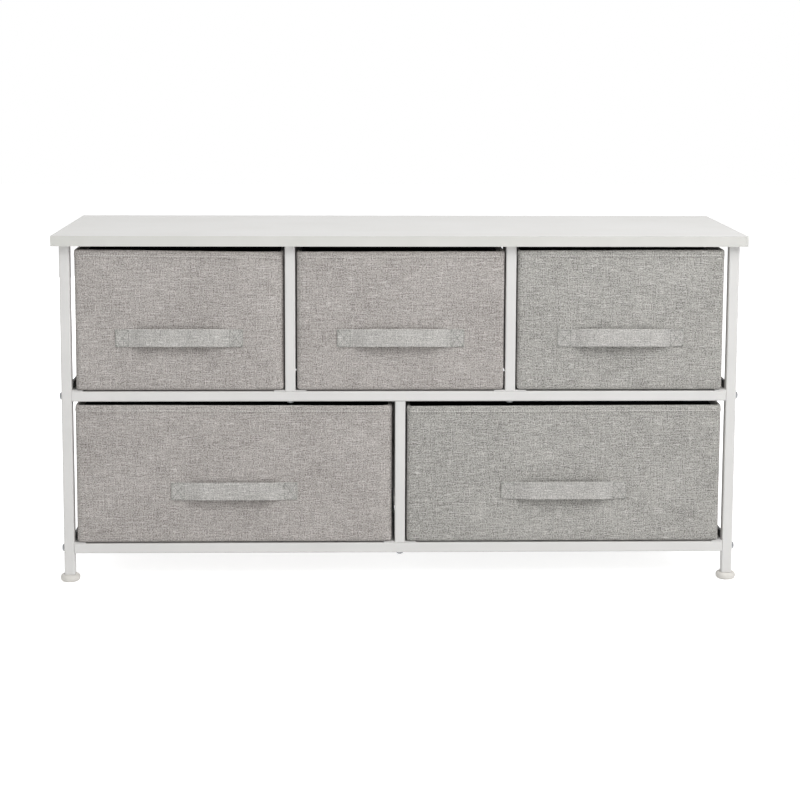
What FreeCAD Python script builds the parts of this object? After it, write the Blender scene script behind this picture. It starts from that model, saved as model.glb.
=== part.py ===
# Fabric drawer dresser: a white square tube frame under a white board, with five fabric drawers
# on sheet steel runners and four levelling feet.
# Millimetres. X runs to the right, Y to the back and Z up. The origin is on the floor, in the
# middle of the footprint, and the drawers slide out towards -Y.
import FreeCAD, Part
import os
import re

import Sketcher

SIZES = {
    # Board on top, edge banded all round, and the whole height
    "board_width": 1000,
    "board_depth": 300,
    "board_thickness": 15,
    "band_thickness": 0.8,
    "overall_height": 510,
    "overhang": 10,
    # Square tube of the legs, bars and posts
    "tube_size": 15,
    "tube_wall": 1.2,
    "tube_corner": 2,
    # Top face of the bottom bars above the floor
    "bottom_bar_level": 57,
    # Folded drawer runners: a ledge under the drawer, a lip beside it and a trim on the lip
    "runner_sheet": 1.5,
    "runner_ledge": 16,
    "runner_lip": 11.5,
    "runner_notch_gap": 0.3,
    "trim_wall": 1,
    # Button head bolts and the threaded inserts that they run into
    "bolt_diameter": 6,
    "bolt_length": 34,
    "bolt_head_diameter": 10.5,
    "bolt_head_height": 3.3,
    "bolt_head_round": 2.4,
    "bolt_clearance": 0.3,
    "socket_size": 4,
    "socket_depth": 2,
    "insert_length": 20,
    "insert_gap": 0.1,
    # Plug with a pin on the head of each lower post
    "plug_length": 14,
    "pin_diameter": 6,
    "pin_length": 8,
    "pin_gap": 0.3,
    # Angle brackets and wood screws that hold the board
    "bracket_sheet": 1.5,
    "bracket_width": 13,
    "bracket_reach": 42,
    "bracket_drop": 25,
    "bracket_near_share": 0.38,
    "bracket_far_share": 0.78,
    "screw_diameter": 3,
    "screw_length": 13,
    "screw_tip": 3,
    "screw_head_diameter": 7,
    "screw_head_height": 2.2,
    "screw_gap": 0.1,
    "screw_hole_gap": 0.6,
    # Levelling feet: a round pad moulded on a threaded stud
    "foot_diameter": 28.5,
    "foot_height": 10,
    "foot_round": 4,
    "foot_gap": 0.3,
    "stud_length": 32,
    "stud_seat": 6,
    "stud_fit": 0.05,
    # Room around the drawers in their bays
    "upper_head_gap": 7.2,
    "lower_head_gap": 5.2,
    "middle_side_gap": 2.75,
    "post_side_gap": 2.5,
    "leg_side_gap": 7,
    "lower_left_gap": 5,
    "lower_right_gap": 3,
    "rear_gap": 13,
    "drawer_proud": 1,
    "drawer_rest_gap": 0.3,
    # Drawers: fabric over board walls, open on top
    "cover_thickness": 1,
    "cover_corner": 2,
    "hem_height": 10,
    "wall_board": 2.5,
    "lining_thickness": 1,
    "base_board": 3,
    "base_board_gap": 0.5,
    # Handle strap: sewn flat at both ends and bowed out between them
    "strap_length": 184,
    "strap_width": 26,
    "strap_thickness": 1.6,
    "strap_end": 30,
    "strap_bow": 9,
    "strap_level": 77,
}

# Sizes that follow from the others: the drawers fill their bays, and the bays share out the frame.
FORMULAS = {
    "frame_depth": "board_depth - 2 * overhang",
    "bar_length": "board_width - 2 * overhang - 2 * tube_size",
    "upper_side_gaps": "2 * (middle_side_gap + post_side_gap + leg_side_gap)",
    "lower_side_gaps": "2 * lower_left_gap + lower_right_gap + leg_side_gap",
    "head_gaps": "upper_head_gap + lower_head_gap",
    "drawer_rise": "runner_sheet + drawer_rest_gap",
    "drawer_depth": "frame_depth + drawer_proud - rear_gap",
    "drawers_height": "overall_height - board_thickness - tube_size - bottom_bar_level - head_gaps",
    "drawer_height": "drawers_height / 2 - drawer_rise",
    "upper_drawer_width": "(bar_length - 2 * tube_size - upper_side_gaps) / 3",
    "lower_drawer_width": "(bar_length - tube_size - lower_side_gaps) / 2",
    "mid_bar_level": "bottom_bar_level + drawer_rise + drawer_height + lower_head_gap + tube_size",
    "upper_post_offset": "upper_drawer_width / 2 + middle_side_gap + tube_size / 2",
}

# Places that several pieces share, as expressions of the sizes.
LEG_X = "(board_width / 2 - overhang - tube_size / 2)"
TUBE_Y = "(board_depth / 2 - overhang - tube_size / 2)"
BOARD_UNDERSIDE = "(overall_height - board_thickness)"
LEG_FOOT = "(foot_height + foot_gap)"
MID_UNDERSIDE = "(mid_bar_level - tube_size)"
TUBE_BORE = "(tube_size - 2 * tube_wall)"
BOLT_HOLE = "(bolt_diameter + 2 * bolt_clearance)"
DRAWER_WALL = "(cover_thickness + wall_board + lining_thickness)"
DRAWER_FRONT = "(drawer_proud + board_depth / 2 - overhang)"

UP = FreeCAD.Vector(0, 0, 1)
TURNED = FreeCAD.Rotation(UP, 180)
UNTURNED = FreeCAD.Rotation()

doc = FreeCAD.newDocument("fabric_drawer_dresser")
sheet = doc.addObject("Spreadsheet::Sheet", "sizes")
cells = {alias: str(value) for alias, value in SIZES.items()}
cells.update({alias: f"={formula}" for alias, formula in FORMULAS.items()})
for row, alias in enumerate(cells, start=1):
    sheet.set(f"A{row}", alias)
    sheet.setAlias(f"B{row}", alias)
for row, alias in enumerate(cells, start=1):
    sheet.set(f"B{row}", cells[alias])
doc.recompute()

nodes = []


def bound(text):
    """An expression on the sheet's aliases, as the document's objects read it."""
    return re.sub(r"[a-z_]+", lambda word: f"sizes.{word[0]}" if word[0] in cells else word[0], text)


def number(text):
    """The present value of such an expression."""
    return float(sheet.evalExpression(bound(text)))


def vector(x, y, z):
    """A point from three expressions."""
    return FreeCAD.Vector(number(x), number(y), number(z))


def place(item, x="0", y="0", z="0", rotation=UNTURNED):
    """Turns a piece and binds its place to the sheet."""
    item.Placement = FreeCAD.Placement(FreeCAD.Vector(), rotation)
    for axis, text in zip("xyz", (x, y, z)):
        item.setExpression(f"Placement.Base.{axis}", bound(text))


def new_body(label):
    body = doc.addObject("PartDesign::Body", label)
    body.Label = label
    return body


def new_sketch(body, plane, lift="0"):
    """A sketch on one of the body's own origin planes, lifted along its normal."""
    sketch = body.newObject("Sketcher::SketchObject", "outline")
    support = [feature for feature in body.Origin.OriginFeatures if feature.Role == f"{plane}_Plane"]
    sketch.AttachmentSupport = [(support[0], "")]
    sketch.MapMode = "FlatFace"
    sketch.setExpression("AttachmentOffset.Base.z", bound(lift))
    return sketch


def fix_point(sketch, geometry, point, x, y):
    """Ties a point of a sketch to the sketch's origin by two expressions."""
    for kind, axis, text in (("DistanceX", -2, x), ("DistanceY", -1, y)):
        if text == "0":
            sketch.addConstraint(Sketcher.Constraint("PointOnObject", geometry, point, axis))
            continue
        constraint = Sketcher.Constraint(kind, -1, 1, geometry, point, number(text))
        index = sketch.addConstraint(constraint)
        sketch.setExpression(f"Constraints[{index}]", bound(text))


def draw_polygon(sketch, points):
    """A closed outline of straight lines through points given as pairs of expressions."""
    corners = [vector(x, y, "0") for x, y in points]
    first = sketch.GeometryCount
    count = len(points)
    for i in range(count):
        sketch.addGeometry(Part.LineSegment(corners[i], corners[(i + 1) % count]))
    for i in range(count):
        following = first + (i + 1) % count
        sketch.addConstraint(Sketcher.Constraint("Coincident", first + i, 2, following, 1))
    for i, (x, y) in enumerate(points):
        fix_point(sketch, first + i, 1, x, y)


def draw_rectangle(sketch, left, right, low, high):
    draw_polygon(sketch, [(left, low), (right, low), (right, high), (left, high)])


def draw_square(sketch, side):
    """A square centred on the sketch's origin."""
    draw_rectangle(sketch, f"-{side} / 2", f"{side} / 2", f"-{side} / 2", f"{side} / 2")


def draw_circle(sketch, x, y, diameter):
    circle = Part.Circle(vector(x, y, "0"), UP, number(diameter) / 2)
    index = sketch.addGeometry(circle)
    fix_point(sketch, index, 3, x, y)
    constraint = sketch.addConstraint(Sketcher.Constraint("Diameter", index, number(diameter)))
    sketch.setExpression(f"Constraints[{constraint}]", bound(diameter))


def pad(body, sketch, length, symmetric=False):
    feature = body.newObject("PartDesign::Pad", "pad")
    feature.Profile = sketch
    feature.setExpression("Length", bound(length))
    if symmetric:
        feature.SideType = "Symmetric"
    doc.recompute()
    return feature


def pocket(body, sketch, depth=None, symmetric=False, reverse=False):
    """Cuts a sketch into the body, to a depth or else right through, and tests that it cut."""
    before = body.Shape.Volume
    feature = body.newObject("PartDesign::Pocket", "pocket")
    feature.Profile = sketch
    feature.Reversed = reverse
    if depth:
        feature.setExpression("Length", bound(depth))
    else:
        feature.Type = "ThroughAll"
    if symmetric:
        feature.SideType = "Symmetric"
    doc.recompute()
    if not feature.Shape.Volume < before:
        raise RuntimeError(f"a pocket of {body.Label} cuts nothing")
    return feature


def revolve(body, sketch):
    """Turns a sketch about its own vertical axis."""
    feature = body.newObject("PartDesign::Revolution", "revolution")
    feature.Profile = sketch
    feature.ReferenceAxis = (sketch, ["V_Axis"])
    doc.recompute()
    return feature


def round_edges(body, feature, radius, wanted):
    """Fillets the edges of a feature that a test picks."""
    names = [f"Edge{i}" for i, edge in enumerate(feature.Shape.Edges, start=1) if wanted(edge)]
    fillet = body.newObject("PartDesign::Fillet", "round")
    fillet.Base = (feature, names)
    fillet.setExpression("Radius", bound(radius))
    doc.recompute()
    return fillet


def runs_along(edge, direction):
    """Whether an edge is a straight line along a direction."""
    if edge.Curve.TypeId != "Part::GeomLine":
        return False
    return edge.tangentAt(edge.FirstParameter).cross(direction).Length < Part.Precision.confusion()


def off_axis(edge, direction):
    """The larger of an edge's two distances from the origin across a direction."""
    middle = edge.CenterOfMass
    across = middle - direction * middle.dot(direction)
    return max(abs(across.x), abs(across.y), abs(across.z))


def copies(label, prototype, places):
    """One node of separate solids: a prototype's shape set down at each placement."""
    shapes = []
    for placement in places:
        shape = prototype.Shape.copy()
        shape.Placement = placement
        shapes.append(shape)
    item = doc.addObject("Part::Feature", label)
    item.Label = label
    item.Shape = Part.makeCompound(shapes)
    nodes.append(item)


def boxes(label, blocks):
    """One node of plain boards, each given by its sizes and its lowest corner."""
    parts = []
    for i, (lengths, corner) in enumerate(blocks):
        block = doc.addObject("Part::Box", f"{label}_{i}")
        for name, text in zip(("Length", "Width", "Height"), lengths):
            block.setExpression(name, bound(text))
        place(block, *corner)
        parts.append(block)
    item = doc.addObject("Part::Compound", label)
    item.Label = label
    item.Links = parts
    nodes.append(item)


TUBE_PLANES = {"x": "YZ", "z": "XY"}
AXES = {"x": FreeCAD.Vector(1, 0, 0), "z": UP}


def square_tube(label, axis, length):
    """A square tube with rounded corners, centred on its body's origin."""
    body = new_body(label)
    section = new_sketch(body, TUBE_PLANES[axis])
    draw_square(section, "tube_size")
    draw_square(section, TUBE_BORE)
    tube = pad(body, section, length, symmetric=True)
    along = AXES[axis]
    between = number("(tube_size - tube_wall) / 2")
    tube = round_edges(
        body, tube, "tube_corner", lambda edge: runs_along(edge, along) and off_axis(edge, along) > between
    )
    round_edges(
        body,
        tube,
        "(tube_corner - tube_wall)",
        lambda edge: runs_along(edge, along) and off_axis(edge, along) < between - number("tube_wall / 4"),
    )
    nodes.append(body)
    return body


def sides():
    """Left and right, as a name and the sign of X."""
    return (("left", "-"), ("right", ""))


def ends():
    """Front and rear, as a name and the sign of Y."""
    return (("front", "-"), ("rear", ""))


def make_board():
    """The board, with pilot holes for the screws in its underside, and its edge bands."""
    board = new_body("top_board")
    outline = new_sketch(board, "XY")
    draw_rectangle(
        outline,
        "-(board_width / 2 - band_thickness)",
        "board_width / 2 - band_thickness",
        "-(board_depth / 2 - band_thickness)",
        "board_depth / 2 - band_thickness",
    )
    pad(board, outline, "board_thickness")
    holes = new_sketch(board, "XY")
    for x, y in screw_places():
        draw_circle(holes, x, y, "(screw_diameter + 2 * screw_gap)")
    pocket(board, holes, "(screw_length - bracket_sheet + screw_gap)", reverse=True)
    place(board, z=BOARD_UNDERSIDE)
    nodes.append(board)

    long_band = ("board_width", "band_thickness", "board_thickness")
    short_band = ("band_thickness", "board_depth - 2 * band_thickness", "board_thickness")
    left, front = "-board_width / 2", "-board_depth / 2"
    boxes(
        "top_edge_bands",
        [
            (long_band, (left, front, BOARD_UNDERSIDE)),
            (long_band, (left, "board_depth / 2 - band_thickness", BOARD_UNDERSIDE)),
            (short_band, (left, f"{front} + band_thickness", BOARD_UNDERSIDE)),
            (short_band, ("board_width / 2 - band_thickness", f"{front} + band_thickness", BOARD_UNDERSIDE)),
        ],
    )


def bracket_places():
    """X and the sign of Y of the eight tube heads that carry the board."""
    return [
        (f"{sign}{x}", end)
        for x in (LEG_X, "upper_post_offset")
        for _, sign in sides()
        for _, end in ends()
    ]


def screw_places():
    """X and Y of the screws through the brackets."""
    places = []
    for x, end in bracket_places():
        for share in ("bracket_near_share", "bracket_far_share"):
            places.append((x, f"{end}({TUBE_Y} - tube_size / 2 - bracket_reach * {share})"))
    return places


def make_legs():
    """Four legs, drilled for the bolts of the bars."""
    length = f"({BOARD_UNDERSIDE} - {LEG_FOOT})"
    middle = f"({BOARD_UNDERSIDE} + {LEG_FOOT}) / 2"
    for side, sign in sides():
        for end, depth in ends():
            leg = square_tube(f"{end}_{side}_leg", "z", length)
            holes = new_sketch(leg, "YZ")
            for level in ("mid_bar_level", "bottom_bar_level"):
                draw_circle(holes, "0", f"{level} - tube_size / 2 - {middle}", BOLT_HOLE)
            pocket(leg, holes, symmetric=True)
            place(leg, f"{sign}{LEG_X}", f"{depth}{TUBE_Y}", middle)


def make_bars():
    """Front and rear bars under each row of drawers, drilled for the posts that meet them."""
    for end, depth in ends():
        mid_bar = square_tube(f"{end}_mid_bar", "x", "bar_length")
        bolt_holes = new_sketch(mid_bar, "XY")
        for _, sign in sides():
            draw_circle(bolt_holes, f"{sign}upper_post_offset", "0", BOLT_HOLE)
        pocket(mid_bar, bolt_holes, symmetric=True)
        pin_hole = new_sketch(mid_bar, "XY")
        draw_circle(pin_hole, "0", "0", "(pin_diameter + 2 * pin_gap)")
        pocket(mid_bar, pin_hole)
        place(mid_bar, "0", f"{depth}{TUBE_Y}", "mid_bar_level - tube_size / 2")

        bottom_bar = square_tube(f"{end}_bottom_bar", "x", "bar_length")
        bolt_hole = new_sketch(bottom_bar, "XY")
        draw_circle(bolt_hole, "0", "0", BOLT_HOLE)
        pocket(bottom_bar, bolt_hole, symmetric=True)
        place(bottom_bar, "0", f"{depth}{TUBE_Y}", "bottom_bar_level - tube_size / 2")


def make_posts():
    """Two posts between the upper drawers and one between the lower, at the front and the rear."""
    upper_length = f"({BOARD_UNDERSIDE} - mid_bar_level)"
    lower_length = f"({MID_UNDERSIDE} - bottom_bar_level)"
    for end, depth in ends():
        for side, sign in sides():
            post = square_tube(f"{end}_upper_{side}_post", "z", upper_length)
            middle = f"({BOARD_UNDERSIDE} + mid_bar_level) / 2"
            place(post, f"{sign}upper_post_offset", f"{depth}{TUBE_Y}", middle)
        post = square_tube(f"{end}_lower_post", "z", lower_length)
        place(post, "0", f"{depth}{TUBE_Y}", f"({MID_UNDERSIDE} + bottom_bar_level) / 2")


def bays():
    """Each drawer bay: its name, the faces of the tubes beside it and the level of its bars."""
    leg_face = f"({LEG_X} - tube_size / 2)"
    inner_face = "(upper_post_offset - tube_size / 2)"
    outer_face = "(upper_post_offset + tube_size / 2)"
    return (
        ("upper_left", f"-{leg_face}", f"-{outer_face}", "mid_bar_level"),
        ("upper_middle", f"-{inner_face}", inner_face, "mid_bar_level"),
        ("upper_right", outer_face, leg_face, "mid_bar_level"),
        ("lower_left", f"-{leg_face}", "-tube_size / 2", "bottom_bar_level"),
        ("lower_right", "tube_size / 2", leg_face, "bottom_bar_level"),
    )


def runner_places(left, right, level):
    """Placements of a bay's two runners: the lip of each is level with the tube faces."""
    return [
        FreeCAD.Placement(vector(f"{left} - runner_sheet", "0", level), UNTURNED),
        FreeCAD.Placement(vector(f"{right} + runner_sheet", "0", level), TURNED),
    ]


def make_runners():
    """A pair of folded runners in each bay and the plastic trims on their lips."""
    runner = new_body("runner")
    profile = new_sketch(runner, "XZ")
    reach = "(runner_sheet + runner_ledge)"
    draw_polygon(
        profile,
        [
            ("0", "0"),
            (reach, "0"),
            (reach, "runner_sheet"),
            ("runner_sheet", "runner_sheet"),
            ("runner_sheet", "runner_lip"),
            ("0", "runner_lip"),
        ],
    )
    pad(runner, profile, "frame_depth", symmetric=True)
    lip_end = "(frame_depth / 2 - tube_size - runner_notch_gap)"
    notches = new_sketch(runner, "XY")
    draw_rectangle(notches, "0", "runner_sheet", lip_end, "frame_depth / 2")
    draw_rectangle(notches, "0", "runner_sheet", "-frame_depth / 2", f"-{lip_end}")
    pocket(runner, notches, symmetric=True)

    trim = new_body("trim")
    section = new_sketch(trim, "XZ")
    inner, outer, crown = "runner_sheet", "(runner_sheet + trim_wall)", "(runner_lip + trim_wall)"
    draw_polygon(
        section,
        [
            ("-trim_wall", "runner_sheet"),
            ("0", "runner_sheet"),
            ("0", "runner_lip"),
            (inner, "runner_lip"),
            (inner, "runner_sheet"),
            (outer, "runner_sheet"),
            (outer, crown),
            ("-trim_wall", crown),
        ],
    )
    pad(trim, section, f"2 * {lip_end}", symmetric=True)

    all_places = []
    for name, left, right, level in bays():
        places = runner_places(left, right, level)
        copies(f"{name}_runners", runner, places)
        all_places += places
    copies("runner_trims", trim, all_places)


def make_fasteners():
    """Bolts and their threaded inserts, pinned plugs, angle brackets and wood screws."""
    bolt = new_body("bolt")
    profile = new_sketch(bolt, "XZ")
    draw_polygon(
        profile,
        [
            ("0", "-bolt_head_height"),
            ("bolt_head_diameter / 2", "-bolt_head_height"),
            ("bolt_head_diameter / 2", "0"),
            ("bolt_diameter / 2", "0"),
            ("bolt_diameter / 2", "bolt_length"),
            ("0", "bolt_length"),
        ],
    )
    turned = revolve(bolt, profile)
    crown = -number("bolt_head_height")
    round_edges(
        bolt,
        turned,
        "bolt_head_round",
        lambda edge: edge.BoundBox.ZMax < crown / 2 and len(edge.Vertexes) == 1,
    )
    socket = new_sketch(bolt, "XY", "-bolt_head_height")
    corner, flat = "socket_size / sqrt(3)", "socket_size / 2"
    half_corner = f"{corner} / 2"
    draw_polygon(
        socket,
        [
            (corner, "0"),
            (half_corner, flat),
            (f"-{half_corner}", flat),
            (f"-{corner}", "0"),
            (f"-{half_corner}", f"-{flat}"),
            (half_corner, f"-{flat}"),
        ],
    )
    pocket(bolt, socket, "socket_depth", reverse=True)

    insert = new_body("insert")
    section = new_sketch(insert, "XY")
    draw_square(section, f"({TUBE_BORE} - 2 * insert_gap)")
    block = pad(insert, section, "insert_length")
    round_edges(insert, block, "(tube_corner - tube_wall)", lambda edge: runs_along(edge, UP))
    bore = new_sketch(insert, "XY")
    draw_circle(bore, "0", "0", BOLT_HOLE)
    pocket(insert, bore, reverse=True)

    leg_bolts, bar_inserts = [], []
    upright_bolts, upright_inserts = [], []
    for _, depth in ends():
        y = f"{depth}{TUBE_Y}"
        for _, sign in sides():
            inward = FreeCAD.Rotation(UP, vector(f"-({sign}tube_size)", "0", "0"))
            for level in ("mid_bar_level", "bottom_bar_level"):
                z = f"{level} - tube_size / 2"
                head = vector(f"{sign}({LEG_X} + tube_size / 2)", y, z)
                bar_end = vector(f"{sign}bar_length / 2", y, z)
                leg_bolts.append(FreeCAD.Placement(head, inward))
                bar_inserts.append(FreeCAD.Placement(bar_end, inward))
            leg_end = vector(f"{sign}{LEG_X}", y, LEG_FOOT)
            upright_inserts.append(FreeCAD.Placement(leg_end, UNTURNED))
        posts = [(f"{sign}upper_post_offset", "mid_bar_level") for _, sign in sides()]
        for x, level in posts + [("0", "bottom_bar_level")]:
            upright_bolts.append(FreeCAD.Placement(vector(x, y, f"{level} - tube_size"), UNTURNED))
            upright_inserts.append(FreeCAD.Placement(vector(x, y, level), UNTURNED))
    copies("frame_bolts", bolt, leg_bolts + upright_bolts)
    copies("threaded_inserts", insert, bar_inserts + upright_inserts)

    plug = new_body("plug")
    section = new_sketch(plug, "XY", "-plug_length")
    draw_square(section, f"({TUBE_BORE} - 2 * insert_gap)")
    block = pad(plug, section, "plug_length")
    round_edges(plug, block, "(tube_corner - tube_wall)", lambda edge: runs_along(edge, UP))
    pin = new_sketch(plug, "XY")
    draw_circle(pin, "0", "0", "pin_diameter")
    pad(plug, pin, "pin_length")
    heads = [vector("0", f"{depth}{TUBE_Y}", MID_UNDERSIDE) for _, depth in ends()]
    copies("post_head_plugs", plug, [FreeCAD.Placement(head, UNTURNED) for head in heads])

    bracket = new_body("bracket")
    profile = new_sketch(bracket, "YZ")
    draw_polygon(
        profile,
        [
            ("0", "0"),
            ("bracket_reach", "0"),
            ("bracket_reach", "-bracket_sheet"),
            ("bracket_sheet", "-bracket_sheet"),
            ("bracket_sheet", "-bracket_drop"),
            ("0", "-bracket_drop"),
        ],
    )
    pad(bracket, profile, "bracket_width", symmetric=True)
    holes = new_sketch(bracket, "XY")
    for share in ("bracket_near_share", "bracket_far_share"):
        draw_circle(holes, "0", f"bracket_reach * {share}", "(screw_diameter + 2 * screw_hole_gap)")
    pocket(bracket, holes, symmetric=True)
    places = []
    for x, end in bracket_places():
        corner = vector(x, f"{end}({TUBE_Y} - tube_size / 2)", BOARD_UNDERSIDE)
        places.append(FreeCAD.Placement(corner, TURNED if end == "" else UNTURNED))
    copies("top_brackets", bracket, places)

    screw = new_body("screw")
    profile = new_sketch(screw, "XZ")
    draw_polygon(
        profile,
        [
            ("0", "-screw_head_height"),
            ("screw_head_diameter / 2", "-screw_head_height"),
            ("screw_head_diameter / 2", "0"),
            ("screw_diameter / 2", "0"),
            ("screw_diameter / 2", "screw_length - screw_tip"),
            ("0", "screw_length"),
        ],
    )
    revolve(screw, profile)
    seat = f"{BOARD_UNDERSIDE} - bracket_sheet"
    places = [FreeCAD.Placement(vector(x, y, seat), UNTURNED) for x, y in screw_places()]
    copies("bracket_screws", screw, places)


def make_feet():
    """A round pad and its threaded stud under each leg."""
    for side, sign in sides():
        for end, depth in ends():
            foot = new_body(f"{end}_{side}_foot_pad")
            outline = new_sketch(foot, "XY")
            draw_circle(outline, "0", "0", "foot_diameter")
            disc = pad(foot, outline, "foot_height")
            round_edges(foot, disc, "foot_round", lambda edge: len(edge.Vertexes) == 1)
            seat = new_sketch(foot, "XY", "foot_height")
            draw_circle(seat, "0", "0", "(bolt_diameter + 2 * stud_fit)")
            pocket(foot, seat, "stud_seat")

            stud = new_body(f"{end}_{side}_foot_stud")
            outline = new_sketch(stud, "XY", "foot_height - stud_seat")
            draw_circle(outline, "0", "0", "bolt_diameter")
            pad(stud, outline, "stud_length")
            for piece in (foot, stud):
                place(piece, f"{sign}{LEG_X}", f"{depth}{TUBE_Y}")
                nodes.append(piece)


def drawers():
    """Each drawer: its name, its width, the middle of its width and the level of its bars."""
    upper = "(upper_post_offset + tube_size / 2 + post_side_gap + upper_drawer_width / 2)"
    lower = "(tube_size / 2 + lower_drawer_width / 2)"
    return (
        ("upper_left", "upper_drawer_width", f"-{upper}", "mid_bar_level"),
        ("upper_middle", "upper_drawer_width", "0", "mid_bar_level"),
        ("upper_right", "upper_drawer_width", upper, "mid_bar_level"),
        ("lower_left", "lower_drawer_width", f"-({lower} + lower_left_gap)", "bottom_bar_level"),
        ("lower_right", "lower_drawer_width", f"{lower} + lower_right_gap", "bottom_bar_level"),
    )


def draw_inset(sketch, width, inset):
    """A drawer's outline from above, with every side moved in; its front lies on the X axis."""
    draw_rectangle(
        sketch, f"-({width} / 2 - {inset})", f"{width} / 2 - {inset}", inset, f"drawer_depth - {inset}"
    )


def make_cover(label, width):
    """The outer fabric: sides, bottom, and a hem folded over the tops of the wall boards."""
    cover = new_body(label)
    outline = new_sketch(cover, "XY")
    draw_rectangle(outline, f"-{width} / 2", f"{width} / 2", "0", "drawer_depth")
    block = pad(cover, outline, "drawer_height")
    block = round_edges(cover, block, "cover_corner", lambda edge: runs_along(edge, UP))

    mouth = new_sketch(cover, "XY", "drawer_height")
    draw_inset(mouth, width, DRAWER_WALL)
    pocket(cover, mouth, "hem_height")
    inside = new_sketch(cover, "XY", "drawer_height - hem_height")
    draw_inset(inside, width, "cover_thickness")
    pocket(cover, inside, "(drawer_height - hem_height - cover_thickness)")
    slot = new_sketch(cover, "XY", "drawer_height - cover_thickness")
    draw_inset(slot, width, "cover_thickness")
    draw_inset(slot, width, "(cover_thickness + wall_board)")
    pocket(cover, slot, "(hem_height - cover_thickness)")
    return cover


def make_lining(label, width):
    """The inner fabric: an open box whose top edge meets the hem."""
    lining = new_body(label)
    outline = new_sketch(lining, "XY", "cover_thickness")
    draw_inset(outline, width, "(cover_thickness + wall_board)")
    pad(lining, outline, "(drawer_height - hem_height - cover_thickness)")
    inside = new_sketch(lining, "XY", "drawer_height - hem_height")
    draw_inset(inside, width, DRAWER_WALL)
    pocket(lining, inside, "(drawer_height - hem_height - cover_thickness - lining_thickness)")
    return lining


def make_base_board(label, width):
    """The loose stiff bottom that lies on the lining."""
    board = new_body(label)
    outline = new_sketch(board, "XY", "cover_thickness + lining_thickness")
    draw_inset(outline, width, f"({DRAWER_WALL} + base_board_gap)")
    pad(board, outline, "base_board")
    return board


def draw_outline(sketch, points, crowns, radius):
    """A closed outline whose lines are arcs of one radius where they have a crown to pass through."""
    corners = [vector(x, y, "0") for x, y in points]
    count = len(points)
    for i in range(count):
        start, stop = corners[i], corners[(i + 1) % count]
        curve = Part.Arc(start, crowns[i], stop) if i in crowns else Part.LineSegment(start, stop)
        sketch.addGeometry(curve)

    def end_at(curve, corner):
        """Which end of a curve lies at a corner, because an arc may run the other way."""
        return min((1, 2), key=lambda end: sketch.getPoint(curve, end).distanceToPoint(corner))

    for i, (x, y) in enumerate(points):
        before = (i - 1) % count
        here, there = end_at(i, corners[i]), end_at(before, corners[i])
        sketch.addConstraint(Sketcher.Constraint("Coincident", before, there, i, here))
        line, end = (before, there) if i in crowns else (i, here)
        fix_point(sketch, line, end, x, y)
    for i in crowns:
        index = sketch.addConstraint(Sketcher.Constraint("Radius", i, number(radius)))
        sketch.setExpression(f"Constraints[{index}]", bound(radius))


def make_strap(label):
    """The handle: a strap sewn flat at both ends, with an arc between them that bows out."""
    strap = new_body(label)
    profile = new_sketch(strap, "XY", "strap_level - strap_width / 2")
    tip, seam = "strap_length / 2", "(strap_length / 2 - strap_end)"
    outer, rise = "-strap_thickness", "(strap_bow - strap_thickness)"
    points = [
        (f"-{tip}", "0"),
        (f"-{seam}", "0"),
        (seam, "0"),
        (tip, "0"),
        (tip, outer),
        (seam, outer),
        (f"-{seam}", outer),
        (f"-{tip}", outer),
    ]
    crowns = {1: vector("0", f"-{rise}", "0"), 5: vector("0", "-strap_bow", "0")}
    draw_outline(profile, points, crowns, f"({seam} ^ 2 + {rise} ^ 2) / (2 * {rise})")
    pad(strap, profile, "strap_width")
    return strap


def make_drawers():
    """Five drawers, each of a cover, wall boards, a lining, a loose bottom and a handle strap."""
    for name, width, middle, level in drawers():
        bottom = f"{level} + drawer_rise"
        front = f"-{DRAWER_FRONT}"
        pieces = [
            make_cover(f"{name}_drawer_cover", width),
            make_lining(f"{name}_drawer_lining", width),
            make_base_board(f"{name}_drawer_base", width),
            make_strap(f"{name}_handle_strap"),
        ]
        for piece in pieces:
            place(piece, middle, front, bottom)
            nodes.append(piece)

        tall = "(drawer_height - 2 * cover_thickness)"
        wide = f"({width} - 2 * cover_thickness)"
        deep = "(drawer_depth - 2 * cover_thickness - 2 * wall_board)"
        left, low = f"{middle} - {wide} / 2", f"{bottom} + cover_thickness"
        near = f"{front} + cover_thickness"
        far = f"{front} + drawer_depth - cover_thickness - wall_board"
        right = f"{middle} + {wide} / 2 - wall_board"
        boxes(
            f"{name}_drawer_wall_boards",
            [
                ((wide, "wall_board", tall), (left, near, low)),
                ((wide, "wall_board", tall), (left, far, low)),
                (("wall_board", deep, tall), (left, f"{near} + wall_board", low)),
                (("wall_board", deep, tall), (right, f"{near} + wall_board", low)),
            ],
        )


def write_nodes():
    """Tests every object and every piece, then writes one file per piece."""
    doc.recompute()
    for item in doc.Objects:
        if "Invalid" in item.State or "Error" in item.State:
            raise RuntimeError(f"{item.Label} failed: {item.State}")
    for node in nodes:
        if node.Shape.isNull() or not node.Shape.isValid():
            raise RuntimeError(f"{node.Label} has no valid shape")
    os.makedirs("parts", exist_ok=True)
    for node in nodes:
        node.Shape.exportStep(f"parts/{node.Label}.step")
    print(f"{len(nodes)} nodes written")


make_board()
make_legs()
make_bars()
make_posts()
make_runners()
make_fasteners()
make_feet()
make_drawers()
write_nodes()
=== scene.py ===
"""Looks of a fabric drawer dresser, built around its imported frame.

The tubes, board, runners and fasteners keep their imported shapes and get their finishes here. The
soft pieces of the five drawers are modelled here: covers, linings, handle straps and stitching.
Lengths are in metres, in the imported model's frame: X to the right, Y to the back and Z up.
"""

import logging
import math
from collections.abc import Callable
from dataclasses import KW_ONLY, dataclass, field
from enum import Enum
from typing import Any, ClassVar

import bmesh
import bpy
from mathutils import Matrix, Vector, noise

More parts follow.
